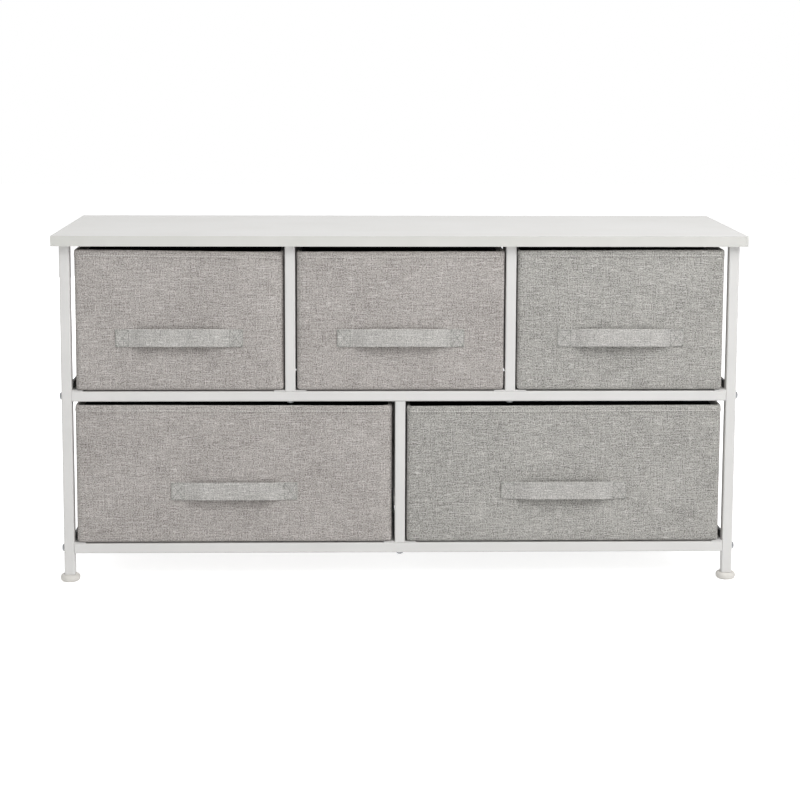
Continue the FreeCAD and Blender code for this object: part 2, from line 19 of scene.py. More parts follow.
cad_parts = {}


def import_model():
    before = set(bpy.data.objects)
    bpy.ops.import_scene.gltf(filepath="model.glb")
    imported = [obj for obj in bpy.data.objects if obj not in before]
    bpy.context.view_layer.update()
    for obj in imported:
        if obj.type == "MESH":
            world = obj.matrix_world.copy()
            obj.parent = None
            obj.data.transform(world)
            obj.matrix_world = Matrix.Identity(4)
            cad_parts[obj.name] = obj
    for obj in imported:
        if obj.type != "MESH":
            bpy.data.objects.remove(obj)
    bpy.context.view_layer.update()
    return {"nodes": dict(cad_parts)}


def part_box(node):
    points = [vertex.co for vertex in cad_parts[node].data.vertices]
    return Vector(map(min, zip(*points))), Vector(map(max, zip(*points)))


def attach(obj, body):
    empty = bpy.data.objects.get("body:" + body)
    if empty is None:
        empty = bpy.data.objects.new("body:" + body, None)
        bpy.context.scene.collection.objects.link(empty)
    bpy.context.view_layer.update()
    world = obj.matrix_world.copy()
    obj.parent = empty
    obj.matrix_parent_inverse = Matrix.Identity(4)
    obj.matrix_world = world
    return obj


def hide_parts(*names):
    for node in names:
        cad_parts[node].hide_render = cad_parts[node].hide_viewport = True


MM: float = 0.001
WEAVE_MAP: str = "weave"

# Nearly all values of a noise texture lie between these two.
NOISE_RANGE: tuple[float, float] = (0.3, 0.7)

# The length in metres after which a band texture with a scale of one repeats.
BAND_LENGTH: float = 0.314

log: logging.Logger = logging.getLogger("dresser")


def linear(colour: str) -> tuple[float, float, float, float]:
    """Turns an sRGB hex colour into linear light.

    Args:
        colour: A hash sign and six hex digits.

    Returns:
        Red, green and blue, and an alpha of one.
    """
    parts = [int(colour[i : i + 2], 16) / 255 for i in (1, 3, 5)]
    red, green, blue = (
        part / 12.92 if part <= 0.04045 else ((part + 0.055) / 1.055) ** 2.4 for part in parts
    )
    return red, green, blue, 1.0


def add_node(
    tree: bpy.types.NodeTree, kind: str, inputs: dict[Any, Any] | None = None, **settings: Any
) -> bpy.types.Node:
    """Adds a node with its settings, and sets or links its inputs.

    Args:
        tree: The node tree that gets the node.
        kind: The node's type.
        inputs: Values by the input's name or number; an output socket is linked.
        settings: The node's own properties.

    Returns:
        The new node.
    """
    made = tree.nodes.new(kind)
    for name, value in settings.items():
        setattr(made, name, value)
    for key, value in (inputs or {}).items():
        if isinstance(value, bpy.types.NodeSocket):
            tree.links.new(value, made.inputs[key])
        else:
            made.inputs[key].default_value = value
    return made


def per_metre(*sizes_mm: float) -> tuple[float, ...]:
    """How often patterns of these sizes in millimetres repeat in a metre."""
    return tuple(1 / (size * MM) for size in sizes_mm)


def band_scale(size_mm: float) -> float:
    """The scale at which a band texture repeats at a size in millimetres."""
    return BAND_LENGTH * per_metre(size_mm)[0]


@dataclass(frozen=True)
class Finish:
    """A surface as its maker would name it, which becomes one material.

    Its roughness goes from one value to another with its pattern, and its relief is that deep.
    """

    name: str
    _: KW_ONLY
    roughness: tuple[float, float]
    relief_mm: float
    relief_strength: float = 0.5

    def shade(self, tree: bpy.types.NodeTree, shader: bpy.types.Node) -> None:
        """Adds the finish's nodes and joins them to the shader.

        Args:
            tree: The material's node tree.
            shader: Its Principled BSDF.
        """
        raise NotImplementedError

    def material(self) -> bpy.types.Material:
        """Gives the finish's material, which is made on its first use.

        Returns:
            The material.
        """
        found = bpy.data.materials.get(self.name)
        if found:
            return found
        made = bpy.data.materials.new(self.name)
        made.use_nodes = True
        self.shade(made.node_tree, made.node_tree.nodes["Principled BSDF"])
        return made

    def surface(
        self,
        tree: bpy.types.NodeTree,
        shader: bpy.types.Node,
        colour: bpy.types.NodeSocket,
        gloss: bpy.types.NodeSocket,
        height: bpy.types.NodeSocket,
        spread: tuple[float, float] = (0.0, 1.0),
        sunk: bool = False,
    ) -> None:
        """Joins a colour, a gloss and a relief to the shader.

        Args:
            tree: The material's node tree.
            shader: Its Principled BSDF.
            colour: The colour.
            gloss: The pattern that the roughness follows.
            height: The pattern that the relief follows.
            spread: The values of the gloss at the two ends of the roughness.
            sunk: Whether a high value lies deep.
        """
        matt = add_node(
            tree,
            "ShaderNodeMapRange",
            {
                "Value": gloss,
                "From Min": spread[0],
                "From Max": spread[1],
                "To Min": self.roughness[0],
                "To Max": self.roughness[1],
            },
        )
        relief = add_node(
            tree,
            "ShaderNodeBump",
            {"Strength": self.relief_strength, "Distance": self.relief_mm * MM, "Height": height},
            invert=sunk,
        )
        tree.links.new(colour, shader.inputs["Base Color"])
        tree.links.new(matt.outputs[0], shader.inputs["Roughness"])
        tree.links.new(relief.outputs[0], shader.inputs["Normal"])


@dataclass(frozen=True)
class Coating(Finish):
    """A smooth skin, such as paint or moulded plastic, with a fine grain and faint clouds."""

    colour: str
    cloud_colour: str
    grain_mm: tuple[float, float, float]
    cloud_mm: float

    def shade(self, tree: bpy.types.NodeTree, shader: bpy.types.Node) -> None:
        """Grain goes to roughness and relief, and clouds to colour.

        Args:
            tree: The material's node tree.
            shader: Its Principled BSDF.
        """
        place = add_node(tree, "ShaderNodeTexCoord").outputs["Object"]
        scale = per_metre(*self.grain_mm)
        fine = add_node(tree, "ShaderNodeMapping", {"Vector": place, "Scale": scale})
        grain = add_node(
            tree, "ShaderNodeTexNoise", {"Vector": fine.outputs[0], "Scale": 1.0, "Detail": 2.0}
        )
        wide = per_metre(self.cloud_mm)[0]
        cloud = add_node(
            tree, "ShaderNodeTexNoise", {"Vector": place, "Scale": wide, "Detail": 3.0}
        )
        share = add_node(
            tree,
            "ShaderNodeMapRange",
            {
                "Value": cloud.outputs[0],
                "From Min": NOISE_RANGE[0],
                "From Max": NOISE_RANGE[1],
            },
        )
        tone = add_node(
            tree,
            "ShaderNodeMix",
            {0: share.outputs[0], 6: linear(self.colour), 7: linear(self.cloud_colour)},
            data_type="RGBA",
        )
        fleck = grain.outputs[0]
        self.surface(tree, shader, tone.outputs[2], fleck, fleck, spread=NOISE_RANGE)


@dataclass(frozen=True)
class ZincPlate(Finish):
    """Bright zinc on steel: a grey metal with a faint spangle and fine turning marks."""

    colour: str = "#77797B"
    pale_colour: str = "#A2A4A6"
    spangle_mm: float = 1.6
    mark_mm: tuple[float, float, float] = (3.0, 3.0, 0.25)
    _: KW_ONLY
    relief_mm: float = 0.05
    relief_strength: float = 0.3
    roughness: tuple[float, float] = (0.25, 0.55)

    def shade(self, tree: bpy.types.NodeTree, shader: bpy.types.Node) -> None:
        """Spangle goes to colour, and the turning marks to roughness and relief.

        Args:
            tree: The material's node tree.
            shader: Its Principled BSDF.
        """
        place = add_node(tree, "ShaderNodeTexCoord").outputs["Object"]
        wide = per_metre(self.spangle_mm)[0]
        spangle = add_node(tree, "ShaderNodeTexVoronoi", {"Vector": place, "Scale": wide})
        tone = add_node(
            tree,
            "ShaderNodeMix",
            {0: spangle.outputs["Distance"], 6: linear(self.colour), 7: linear(self.pale_colour)},
            data_type="RGBA",
        )
        scale = per_metre(*self.mark_mm)
        fine = add_node(tree, "ShaderNodeMapping", {"Vector": place, "Scale": scale})
        marks = add_node(tree, "ShaderNodeTexNoise", {"Vector": fine.outputs[0], "Scale": 1.0})
        shader.inputs["Metallic"].default_value = 1.0
        self.surface(tree, shader, tone.outputs[2], marks.outputs[0], marks.outputs[0])


@dataclass(frozen=True)
class Yarn:
    """One layer of uneven yarn: how long and wide its patches are, and how strongly they show."""

    along_mm: float
    across_mm: float
    weight: float


@dataclass(frozen=True)
class LinenWeave(Finish):
    """Polyester woven to look like linen: mottled by uneven threads, with pale slubs in the weft.

    Real threads of about 0.4 mm are too fine to show, so they are drawn at 0.8 mm and the patches
    of uneven yarn at 1.6 mm or more.
    """

    dark: str
    pale: str
    slub: str
    thread_mm: float = 0.8
    thread_height: float = 0.9
    yarns: tuple[Yarn, ...] = (
        Yarn(1.8, 1.65, 1.65),
        Yarn(26.0, 1.6, 0.6),
        Yarn(1.6, 22.0, 0.5),
        Yarn(80.0, 60.0, 0.22),
    )
    slub_mm: tuple[float, float] = (16.0, 1.5)
    slub_range: tuple[float, float] = (0.65, 0.75)
    slub_strength: float = 0.65
    specular: float = 0.25
    sheen: float = 0.08
    _: KW_ONLY
    relief_mm: float = 0.35
    relief_strength: float = 0.6
    roughness: tuple[float, float] = (0.96, 0.8)

    def shade(self, tree: bpy.types.NodeTree, shader: bpy.types.Node) -> None:
        """Yarn patches make the tone, and the tone and the crossing threads make the relief.

        Args:
            tree: The material's node tree.
            shader: Its Principled BSDF.
        """
        cloth = add_node(tree, "ShaderNodeUVMap", uv_map=WEAVE_MAP).outputs[0]
        tone: Any = 0.5 - 0.5 * sum(yarn.weight for yarn in self.yarns)
        for yarn in self.yarns:
            scale = (*per_metre(yarn.along_mm, yarn.across_mm), 1.0)
            spread = add_node(tree, "ShaderNodeMapping", {"Vector": cloth, "Scale": scale})
            patch = add_node(
                tree,
                "ShaderNodeTexNoise",
                {"Vector": spread.outputs[0], "Scale": 1.0, "Detail": 2.0},
                noise_dimensions="2D",
            )
            tone = add_node(
                tree,
                "ShaderNodeMath",
                {0: patch.outputs[0], 1: yarn.weight, 2: tone},
                operation="MULTIPLY_ADD",
            ).outputs[0]
        ground = add_node(
            tree,
            "ShaderNodeMix",
            {0: tone, 6: linear(self.dark), 7: linear(self.pale)},
            data_type="RGBA",
        )
        slub_scale = (*per_metre(*self.slub_mm), 1.0)
        spread = add_node(tree, "ShaderNodeMapping", {"Vector": cloth, "Scale": slub_scale})
        streak = add_node(
            tree,
            "ShaderNodeTexNoise",
            {"Vector": spread.outputs[0], "Scale": 1.0, "Detail": 1.0},
            noise_dimensions="2D",
        )
        slubs = add_node(
            tree,
            "ShaderNodeMapRange",
            {
                "Value": streak.outputs[0],
                "From Min": self.slub_range[0],
                "From Max": self.slub_range[1],
                "To Max": self.slub_strength,
            },
        )
        colour = add_node(
            tree,
            "ShaderNodeMix",
            {0: slubs.outputs[0], 6: ground.outputs[2], 7: linear(self.slub)},
            data_type="RGBA",
        )
        warp, weft = (
            add_node(
                tree,
                "ShaderNodeTexWave",
                {"Vector": cloth, "Scale": band_scale(self.thread_mm)},
                bands_direction=direction,
            ).outputs["Fac"]
            for direction in ("X", "Y")
        )
        crossing = add_node(tree, "ShaderNodeMath", {0: warp, 1: weft}, operation="MULTIPLY")
        height = add_node(
            tree,
            "ShaderNodeMath",
            {0: crossing.outputs[0], 1: self.thread_height, 2: tone},
            operation="MULTIPLY_ADD",
        )
        shader.inputs["Specular IOR Level"].default_value = self.specular
        shader.inputs["Sheen Weight"].default_value = self.sheen
        self.surface(tree, shader, colour.outputs[2], tone, height.outputs[0])


@dataclass(frozen=True)
class SpunLining(Finish):
    """Black spunbonded polypropylene: matt fibres pressed together by a lattice of small dimples.

    The real lattice of about 0.8 mm is too fine to show, so it is drawn at 1.6 mm, and the
    hair-thin fibres at 0.5 mm.
    """

    colour: str = "#131314"
    fibre_colour: str = "#2A2A2C"
    dimple_mm: float = 1.6
    lattice_turn: float = 45.0
    fibre_mm: tuple[float, float] = (6.0, 0.5)
    specular: float = 0.3
    _: KW_ONLY
    relief_mm: float = 0.2
    relief_strength: float = 0.6
    roughness: tuple[float, float] = (0.92, 0.6)

    def shade(self, tree: bpy.types.NodeTree, shader: bpy.types.Node) -> None:
        """Fibres make the tone, and the dimples the relief.

        Args:
            tree: The material's node tree.
            shader: Its Principled BSDF.
        """
        cloth = add_node(tree, "ShaderNodeUVMap", uv_map=WEAVE_MAP).outputs[0]
        turn = (0, 0, math.radians(self.lattice_turn))
        turned = add_node(
            tree, "ShaderNodeMapping", {"Vector": cloth, "Rotation": turn}
        ).outputs[0]
        one, two = (
            add_node(
                tree,
                "ShaderNodeTexWave",
                {"Vector": turned, "Scale": band_scale(self.dimple_mm)},
                bands_direction=direction,
            ).outputs["Fac"]
            for direction in ("X", "Y")
        )
        dimples = add_node(tree, "ShaderNodeMath", {0: one, 1: two}, operation="MULTIPLY")
        scale = (*per_metre(*self.fibre_mm), 1.0)
        spread = add_node(tree, "ShaderNodeMapping", {"Vector": turned, "Scale": scale})
        fibres = add_node(
            tree,
            "ShaderNodeTexNoise",
            {"Vector": spread.outputs[0], "Scale": 1.0, "Detail": 3.0},
            noise_dimensions="2D",
        )
        tone = add_node(
            tree,
            "ShaderNodeMix",
            {0: fibres.outputs[0], 6: linear(self.colour), 7: linear(self.fibre_colour)},
            data_type="RGBA",
        )
        shader.inputs["Specular IOR Level"].default_value = self.specular
        lattice = dimples.outputs[0]
        self.surface(tree, shader, tone.outputs[2], lattice, lattice, sunk=True)


# Melamine paper pressed on chipboard: an even, matt white with a pearl grain. The real grain of
# about 0.4 mm is drawn at 1.5 mm so that it shows.
MELAMINE = Coating(
    "white_melamine_face",
    "#E1E0DE",
    "#DCDBD8",
    grain_mm=(1.5, 1.5, 1.5),
    cloud_mm=110.0,
    relief_mm=0.06,
    roughness=(0.36, 0.5),
)
# Extruded ABS strip with faint lines along its length, drawn a touch greyer than the face: that
# grey is painted shade, as the board's edges get less of the light from above than its top. The
# real lines are finer than the 0.9 mm at which they are drawn so that they show.
EDGE_BAND_PAINTED_SHADE = Coating(
    "white_edge_band_painted_shade",
    "#D5D4D0",
    "#CFCFCA",
    grain_mm=(14.0, 14.0, 0.9),
    cloud_mm=60.0,
    relief_mm=0.04,
    roughness=(0.34, 0.46),
)
# Polyester powder baked on steel: satin white with a shallow orange peel of about 2 mm.
POWDER_COAT = Coating(
    "white_powder_coat",
    "#DCDBD9",
    "#D7D6D4",
    grain_mm=(2.2, 2.2, 2.2),
    cloud_mm=80.0,
    relief_mm=0.12,
    roughness=(0.32, 0.48),
)
# Black soft vinyl with a dull bloom, on the post head plugs. On the runner trims the same black is
# painted shade: it stands for the unlit gap beside each drawer's lower corners. The lines that the
# die leaves are drawn 0.7 mm apart, coarser than the real ones, so that they show.
BLACK_VINYL_AND_PAINTED_SHADE = Coating(
    "black_plugs_and_painted_shade_trim",
    "#141414",
    "#1D1D1E",
    grain_mm=(8.0, 8.0, 0.7),
    cloud_mm=25.0,
    relief_mm=0.05,
    roughness=(0.42, 0.62),
)
# Injection moulded nylon: warm white and slightly waxy. Its spark grain of about 0.1 mm is drawn at
# 0.8 mm so that it shows.
WHITE_MOULDING = Coating(
    "white_nylon_moulding",
    "#DFDCD7",
    "#D7D4CE",
    grain_mm=(0.8, 0.8, 0.8),
    cloud_mm=12.0,
    relief_mm=0.05,
    roughness=(0.4, 0.58),
)
# Recycled fibreboard: a dry grey-brown with short flecks of fibre, about 3 mm long.
GREYBOARD = Coating(
    "grey_fibreboard",
    "#77726B",
    "#938D84",
    grain_mm=(3.0, 1.2, 1.2),
    cloud_mm=4.0,
    relief_mm=0.1,
    roughness=(0.82, 0.95),
)
# Zinc plate on turned steel: a small grey gleam, broken by spangle. The turning marks are drawn
# coarser than the real tenth of a millimetre so that they show.
ZINC = ZincPlate("bright_zinc_plate")
# The left and middle drawers' linen: a warm grey, even from afar and heathered close up.
WARM_LINEN = LinenWeave("warm_grey_linen_weave", "#76706C", "#D4CFCB", "#DAD7D4")
# The same linen of another dye lot, on the right: a neutral grey with more dark in its yarns.
COOL_LINEN = LinenWeave("cool_grey_linen_weave", "#696763", "#D2D0CB", "#DAD9D5")
# The handle straps' linen: paler and flatter than the fronts, so that a strap stands out lightly.
STRAP_LINEN = LinenWeave("pale_strap_weave", "#8A8885", "#D7D5D1", "#DDDBD8")
# Spunbonded lining: nearly black, and so matt that a drawer's inside reads as a dark hollow.
LINING = SpunLining("black_spunbond_lining")
# Spun polyester thread of the hems: a pale dotted line. Its twist of about 0.4 mm is drawn at
# 1.2 mm so that it shows.
HEM_THREAD = Coating(
    "pale_sewing_thread",
    "#DAD8D5",
    "#CBC9C5",
    grain_mm=(0.5, 0.5, 1.2),
    cloud_mm=6.0,
    relief_mm=0.08,
    roughness=(0.7, 0.85),
)
# The straps' thread: the same drawn in a darker grey, which draws a faint crossed box. The grey
# is painted shade, standing for the shadows between and beside the pale stitches.
STRAP_THREAD_PAINTED_SHADE = Coating(
    "grey_thread_painted_shade",
    "#9A9C96",
    "#868882",
    grain_mm=(0.5, 0.5, 1.2),
    cloud_mm=6.0,
    relief_mm=0.08,
    roughness=(0.7, 0.85),
)


class Domain(Enum):
    """What a selection in edit mode is made of."""

    EDGES = "EDGE"
    FACES = "FACE"


def pick(piece: bpy.types.Object, domain: Domain, wanted: Callable[[Any], bool]) -> None:
    """Selects, in edit mode, the edges or faces that a test picks, and nothing else.

    Args:
        piece: The object in edit mode.
        domain: Edges or faces.
        wanted: The test.
    """
    bpy.ops.mesh.select_mode(type=domain.value)
    bpy.ops.mesh.select_all(action="DESELECT")
    shape = bmesh.from_edit_mesh(piece.data)
    for part in shape.edges if domain is Domain.EDGES else shape.faces:
        if wanted(part):
            part.select_set(True)
    shape.select_flush_mode()
    bmesh.update_edit_mesh(piece.data)


def start_block(name: str, low: Vector, high: Vector) -> bpy.types.Object:
    """Adds a block between two corners, with its place in its mesh, and leaves it in object mode.

    Args:
        name: The piece's name.
        low: The lowest corner.
        high: The highest corner.

    Returns:
        The block, selected alone.
    """
    bpy.ops.object.select_all(action="DESELECT")
    bpy.ops.mesh.primitive_cube_add(size=1, location=(low + high) / 2, scale=high - low)
    block = bpy.context.object
    bpy.ops.object.transform_apply(location=True, rotation=True, scale=True)
    block.name = block.data.name = name
    return block


def cut_across(axis: int, places: list[float]) -> None:
    """Cuts the piece in edit mode across an axis.

    Args:
        axis: 0, 1 or 2 for X, Y or Z.
        places: Where the cuts go along it.
    """
    normal = Vector((0, 0, 0))
    normal[axis] = 1
    for place in places:
        bpy.ops.mesh.select_all(action="SELECT")
        bpy.ops.mesh.bisect(plane_co=normal * place, plane_no=normal)


def stations(low: float, high: float, step: float, margins: tuple[float, ...]) -> list[float]:
    """Places for cuts between two ends: close ones beside each end, and even ones between.

    Args:
        low: One end.
        high: The other end.
        step: The distance between the even cuts.
        margins: The close cuts' distances from an end.

    Returns:
        The places in order.
    """
    first, last = low + max(margins), high - max(margins)
    count = max(1, round((last - first) / step))
    even = [first + (last - first) * i / count for i in range(count + 1)]
    near = [place for margin in margins[:-1] for place in (low + margin, high - margin)]
    return sorted(even + near)


def finish_with(piece: bpy.types.Object, kind: str, **settings: Any) -> None:
    """Adds a modifier to the active piece and applies it.

    Args:
        piece: The piece, which is active and in object mode.
        kind: The modifier's type.
        settings: Its properties.
    """
    modifier = piece.modifiers.new(kind.lower(), kind)
    for name, value in settings.items():
        setattr(modifier, name, value)
    bpy.ops.object.modifier_apply(modifier=modifier.name)


def lay_weave(piece: bpy.types.Object) -> None:
    """Gives a piece a map in metres, with the weft level and the warp upright on every side.

    Args:
        piece: The piece, in object mode.
    """
    mesh = piece.data
    cloth = mesh.uv_layers.get(WEAVE_MAP) or mesh.uv_layers.new(name=WEAVE_MAP)
    for face in mesh.polygons:
        steep = max(range(3), key=lambda axis: abs(face.normal[axis]))
        along, up = ((1, 2), (0, 2), (0, 1))[steep]
        for loop in face.loop_indices:
            corner = mesh.vertices[mesh.loops[loop].vertex_index].co
            cloth.data[loop].uv = (corner[along], corner[up])


def smooth(share: float) -> float:
    """Eases from 0 to 1, and stays there outside."""
    share = min(1.0, max(0.0, share))
    return share * share * (3 - 2 * share)


def paint(piece: bpy.types.Object, finish: Finish) -> None:
    """Gives every slot of a piece one finish, with a slot where there is none.

    Args:
        piece: The piece.
        finish: Its finish.
    """
    if not piece.material_slots:
        piece.data.materials.append(None)
    for slot in piece.material_slots:
        slot.material = finish.material()


def soften(piece: bpy.types.Object, finish: Finish, thickness: float = 0.0) -> None:
    """Turns a shaped piece into smooth cloth.

    Args:
        piece: The piece, which is active and in object mode.
        finish: The cloth's finish.
        thickness: The thickness that an open shell gets; a closed piece gets none.
    """
    if thickness:
        finish_with(piece, "SOLIDIFY", thickness=thickness, offset=-1.0)
    finish_with(piece, "SUBSURF", levels=1, render_levels=1, uv_smooth="NONE")
    bpy.ops.object.shade_smooth()
    paint(piece, finish)


def join(name: str, pieces: list[bpy.types.Object]) -> bpy.types.Object:
    """Joins pieces into the last of them.

    Args:
        name: The joined piece's name.
        pieces: The pieces, the last of which is active.

    Returns:
        The joined piece.
    """
    for piece in pieces:
        piece.select_set(True)
    bpy.ops.object.join()
    joined = bpy.context.object
    joined.name = joined.data.name = name
    return joined


@dataclass(frozen=True)
class StitchRow:
    """A straight row of stitches from one point to another."""

    start: Vector
    stop: Vector


@dataclass(frozen=True)
class Thread:
    """How a seam is sewn, with stitches thicker than real thread so that they show."""

    finish: Finish
    pitch: float = 3.6 * MM
    length: float = 3.1 * MM
    thickness: float = 1.1 * MM

    def sew(self, name: str, rows: list[StitchRow]) -> bpy.types.Object:
        """Makes the stitches of several rows as one piece.

        Args:
            name: The piece's name.
            rows: The rows.

        Returns:
            The piece, with its finish.
        """
        runs = []
        for row in rows:
            run = row.stop - row.start
            count = max(1, round(run.length / self.pitch))
            step = run / count
            bpy.ops.object.select_all(action="DESELECT")
            bpy.ops.mesh.primitive_uv_sphere_add(
                segments=6, ring_count=4, radius=0.5, location=row.start + step / 2
            )
            stitch = bpy.context.object
            stitch.scale = (self.thickness, self.thickness, self.length)
            stitch.rotation_euler = run.to_track_quat("Z", "Y").to_euler()
            bpy.ops.object.transform_apply(location=True, rotation=True, scale=True)
            finish_with(
                stitch,
                "ARRAY",
                count=count,
                use_relative_offset=False,
                use_constant_offset=True,
                constant_offset_displace=step,
            )
            runs.append(stitch)
        seam = join(name, runs)
        bpy.ops.object.shade_smooth()
        paint(seam, self.finish)
        return seam


# The hem's row is sewn with the heavier thread, because it has to show against the linen.
HEM_SEWING = Thread(HEM_THREAD, thickness=1.3 * MM)
STRAP_SEWING = Thread(STRAP_THREAD_PAINTED_SHADE)


@dataclass
class FabricDrawer:
    """A drawer: a woven cover over stiff boards, with a lining, a handle strap and stitching."""

    name: str
    seed: int
    weave: Finish

    # How far the rim stands above its level at its left and right, and how far down that reaches.
    rim_lift: tuple[float, float] = (0.0, 0.0)
    rim_reach: float = 35.0 * MM
    rim_wave: float = 0.8 * MM
    rim_wave_size: float = 90.0 * MM

    # How far the front's right edge is pushed in, and how far that reaches along it and back.
    tuck: float = 0.0
    push_reach: float = 20.0 * MM
    push_depth: float = 60.0 * MM

    # The cloth, its corners, a wall of two cloths and a board, and the spacing of the mesh.
    cloth: float = 0.8 * MM
    corner: float = 4.5 * MM
    corner_dip: float = 1.0 * MM
    corner_reach: float = 4.0 * MM
    wall: float = 4.5 * MM
    grid: float = 14.0 * MM

    # How far the cloth swells and ripples, and what share of the front's ripple and hem a side has.
    front_swell: float = 1.6 * MM
    side_swell: float = 0.7 * MM
    roll: float = 5.0 * MM
    ripple: float = 0.7 * MM
    ripple_size: float = 75.0 * MM
    side_ripple: float = 0.4
    side_hem: float = 0.5

    # The hem: its height, how far it stands out at its edge, and the share of that at the rim.
    hem_drop: float = 10.0 * MM
    hem_proud: float = 0.9 * MM
    hem_edge: float = 0.8 * MM
    hem_rim: float = 0.25
    stitch_drop: float = 7.8 * MM
    stitch_clear: float = 1.0 * MM

    # The lining: how far it hangs off its neighbours, its corners and its puckers.
    lining_gap: float = 0.2 * MM
    lining_rise: float = 1.1 * MM
    lining_tuck: float = 0.5 * MM
    lining_corner: float = 3.0 * MM
    pucker: float = 0.5 * MM
    pucker_rise: float = 30.0 * MM
    pucker_size: float = 60.0 * MM

    # The boards: how far they lie inside the box at its sides, bottom, top and corners.
    board_inset: float = 1.3 * MM
    board_foot: float = 3.5 * MM
    board_head: float = 2.0 * MM
    board_short: float = 2.2 * MM
    board_thickness: float = 2.1 * MM
    board_corner: float = 9.0 * MM

    # The strap: its sewn ends, its rise from them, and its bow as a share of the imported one.
    strap_thickness: float = 1.6 * MM
    strap_edge: float = 0.6 * MM
    strap_end: float = 20.0 * MM
    strap_rise: float = 26.0 * MM
    strap_slack: float = 1.25
    strap_flare: float = 0.35
    strap_lift: float = 0.2
    seam_edge: float = 1.2 * MM
    seam_end: float = 0.5 * MM

    low: Vector = field(init=False)
    high: Vector = field(init=False)

    # The hem's roll over the boards: how far in and how far below the top each fold of it lies, in
    # millimetres, and how far below the top it starts.
    HEM_ROLL: ClassVar[tuple[tuple[float, float], ...]] = (
        (0.5, 0.6),
        (1.6, 0.05),
        (2.9, 0.0),
        (4.0, 0.5),
        (4.5, 1.6),
        (4.5, 11.0),
    )
    HEM_START: ClassVar[float] = 1.7 * MM

    # Where the pieces are cut: beside their ends, and the cover also beside the hem's edge.
    COVER_CUTS: ClassVar[tuple[float, ...]] = (6 * MM, 10 * MM, 16 * MM)
    HEM_CUTS: ClassVar[tuple[float, ...]] = (-2.0 * MM, -0.6 * MM, 0.2 * MM, 2.5 * MM, 5.5 * MM)
    WALL_CUTS: ClassVar[tuple[float, ...]] = (4 * MM, 8 * MM, 14 * MM, 20 * MM)
    STRAP_CUTS: ClassVar[tuple[float, ...]] = (2 * MM, 4 * MM)
    STRAP_GRID: ClassVar[tuple[tuple[int, float], ...]] = ((0, 4 * MM), (2, 5 * MM))

    # Steps in the noise from one drawer's seed to the next, and the lining's own level in it.
    SEED_STEP: ClassVar[tuple[float, float]] = (3.7, 1.3)
    LINING_LEVEL: ClassVar[float] = 5.0

    # A point this near to a wall's plane lies on it, and a face with this much rise looks up.
    ON_WALL: ClassVar[float] = 0.5 * MM
    LOOKS_UP: ClassVar[float] = 0.9

    def __post_init__(self) -> None:
        """Takes the drawer's box from its packed cover."""
        self.low, self.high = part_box(f"{self.name}_drawer_cover")

    def push(self, point: Vector) -> float:
        """How far the front wall is pushed in at a point, which it is most at its right edge.

        Args:
            point: A point on or near the box.

        Returns:
            The distance, towards the back.
        """
        edge = smooth(1 - (self.high.x - point.x) / self.push_reach)
        edge *= smooth((point.z - self.low.z) / self.push_reach)
        return self.tuck * edge * smooth(1 - (point.y - self.low.y) / self.push_depth)

    def drape(self, point: Vector) -> Vector:
        """How far the cloth at a point of the plain box stands away from it.

        Args:
            point: A point on or near the box.

        Returns:
            The shift.
        """
        left, right = point.x - self.low.x, self.high.x - point.x
        front, back = point.y - self.low.y, self.high.y - point.y
        rise, below = point.z - self.low.z, self.high.z - point.z
        beside, ahead = min(left, right), min(front, back)
        offset = Vector((*(self.seed * step for step in self.SEED_STEP), 0))
        ripple = self.ripple * noise.noise(point / self.ripple_size + offset)
        band = self.hem_proud * smooth((self.hem_drop - below) / self.hem_edge + 0.5)
        band *= self.hem_rim + (1 - self.hem_rim) * min(1.0, below / self.hem_drop)
        shift = Vector((0, 0, 0))
        on_face = max(0.0, 1 - ahead / self.corner)
        pillow = 1 - math.exp(-max(0.0, min(beside, rise)) / self.roll)
        out = (self.front_swell + ripple) * pillow + band
        shift.y = on_face * (-out if front < back else out) + self.push(point)
        on_side = max(0.0, 1 - beside / self.corner)
        pillow = 1 - math.exp(-max(0.0, min(ahead, rise)) / self.roll)
        out = (self.side_swell + self.side_ripple * ripple) * pillow + self.side_hem * band
        shift.x = on_side * (-out if left < right else out)
        near_top = smooth(1 - below / self.rim_reach)
        plan = Vector((point.x, point.y, 0))
        wave = 0.5 + 0.5 * noise.noise(plan / self.rim_wave_size + offset)
        nearness = math.exp(-((max(beside, ahead) / self.corner_reach) ** 2))
        across = (point.x - self.low.x) / (self.high.x - self.low.x)
        lift = self.rim_lift[0] * (1 - across) + self.rim_lift[1] * across
        shift.z = near_top * (lift - self.rim_wave * wave - self.corner_dip * nearness)
        return shift

    def follow(self, piece: bpy.types.Object, flat: bool = False) -> None:
        """Moves a piece's points as the cloth under them stands.

        Args:
            piece: A piece in object mode.
            flat: Whether every point goes by the front panel under it.
        """
        for vertex in piece.data.vertices:
            point = vertex.co.copy()
            if flat:
                point.y = self.low.y
            vertex.co += self.drape(point)

    def fold_hem(self) -> None:
        """Rolls the selected rim over the boards and down their inner side."""
        half = (self.high - self.low) / 2
        middle = (self.high + self.low) / 2
        inset, level = 0.0, self.high.z - self.HEM_START
        for new_inset, drop in self.HEM_ROLL:
            new_inset, new_level = new_inset * MM, self.high.z - drop * MM
            bpy.ops.mesh.extrude_region_move(
                TRANSFORM_OT_translate={"value": (0, 0, new_level - level)}
            )
            shrink = [(half[axis] - new_inset) / (half[axis] - inset) for axis in (0, 1)]
            bpy.ops.transform.resize(value=(*shrink, 1), center_override=middle)
            inset, level = new_inset, new_level

